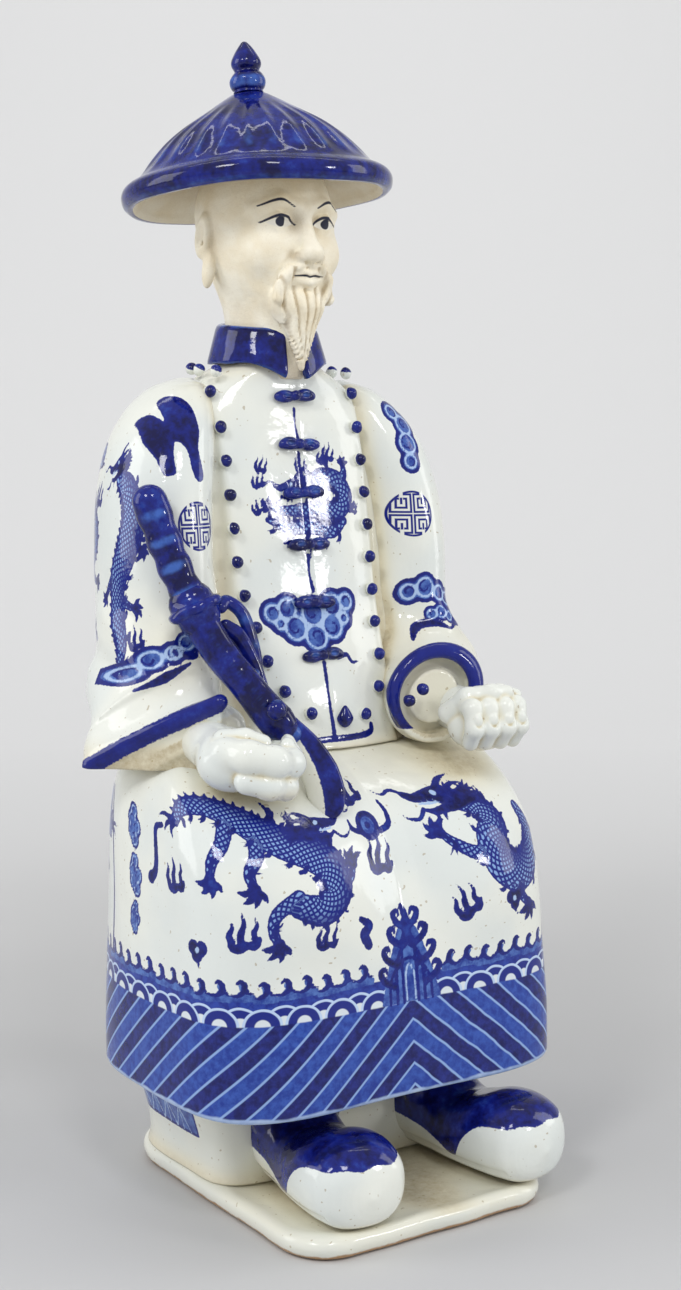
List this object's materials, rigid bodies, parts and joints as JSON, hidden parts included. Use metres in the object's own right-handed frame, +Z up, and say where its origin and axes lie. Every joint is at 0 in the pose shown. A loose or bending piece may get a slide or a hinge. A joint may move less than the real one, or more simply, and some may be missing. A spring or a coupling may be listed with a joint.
{
  "type": "porcelain figurine",
  "caption": "Blue and white porcelain figurine of a seated, robed elder with a wide cone hat, bead necklace and short sword, on a low slab base.",
  "frame": {"origin": "middle of the base slab's flat underside", "axes": "+Z up, and the figure faces -Y, so its right hand with the sword is at -X"},
  "size_m": [0.119, 0.1266, 0.3098],
  "materials": {
    "glazed_white": "gloss",
    "cobalt_glaze": "gloss",
    "bisque": "matte",
    "foot_clay": "gloss"
  },
  "bodies": {
    "root": {"base_slab": "foot_clay", "bead_left_01": "glazed_white", "bead_left_02": "glazed_white", "bead_left_03": "glazed_white", "bead_left_04": "glazed_white", "bead_left_05": "glazed_white", "bead_left_06": "glazed_white", "bead_left_07": "glazed_white", "bead_left_08": "glazed_white", "bead_left_09": "glazed_white", "bead_left_10": "glazed_white", "bead_left_11": "glazed_white", "bead_left_shoulder_1": "glazed_white", "bead_left_shoulder_2": "glazed_white", "bead_left_shoulder_3": "glazed_white", "bead_right_01": "glazed_white", "bead_right_02": "glazed_white", "bead_right_03": "glazed_white", "bead_right_04": "glazed_white", "bead_right_05": "glazed_white", "bead_right_06": "glazed_white", "bead_right_07": "glazed_white", "bead_right_08": "glazed_white", "bead_right_09": "glazed_white", "bead_right_10": "glazed_white", "bead_right_11": "glazed_white", "bead_right_shoulder_1": "glazed_white", "bead_right_shoulder_2": "glazed_white", "bead_right_shoulder_3": "glazed_white", "boot_left": "cobalt_glaze", "boot_right": "cobalt_glaze", "collar": "cobalt_glaze", "frog_1": "cobalt_glaze", "frog_2": "cobalt_glaze", "frog_3": "cobalt_glaze", "frog_4": "cobalt_glaze", "frog_5": "cobalt_glaze", "frog_6": "cobalt_glaze", "hand_left": "glazed_white", "hand_right": "glazed_white", "hat": "cobalt_glaze", "hat_finial": "cobalt_glaze", "head": "bisque", "held_bead_1": "cobalt_glaze", "held_bead_2": "cobalt_glaze", "jacket_torso": "glazed_white", "pendant": "cobalt_glaze", "robe_skirt": "glazed_white", "seat_block": "glazed_white", "sleeve_left": "glazed_white", "sleeve_right": "glazed_white", "sword_grip": "cobalt_glaze", "sword_guard": "cobalt_glaze", "sword_loop": "cobalt_glaze", "sword_scabbard": "cobalt_glaze", "sword_stud": "cobalt_glaze", "sword_tip": "cobalt_glaze"}
  },
  "joints": []
}
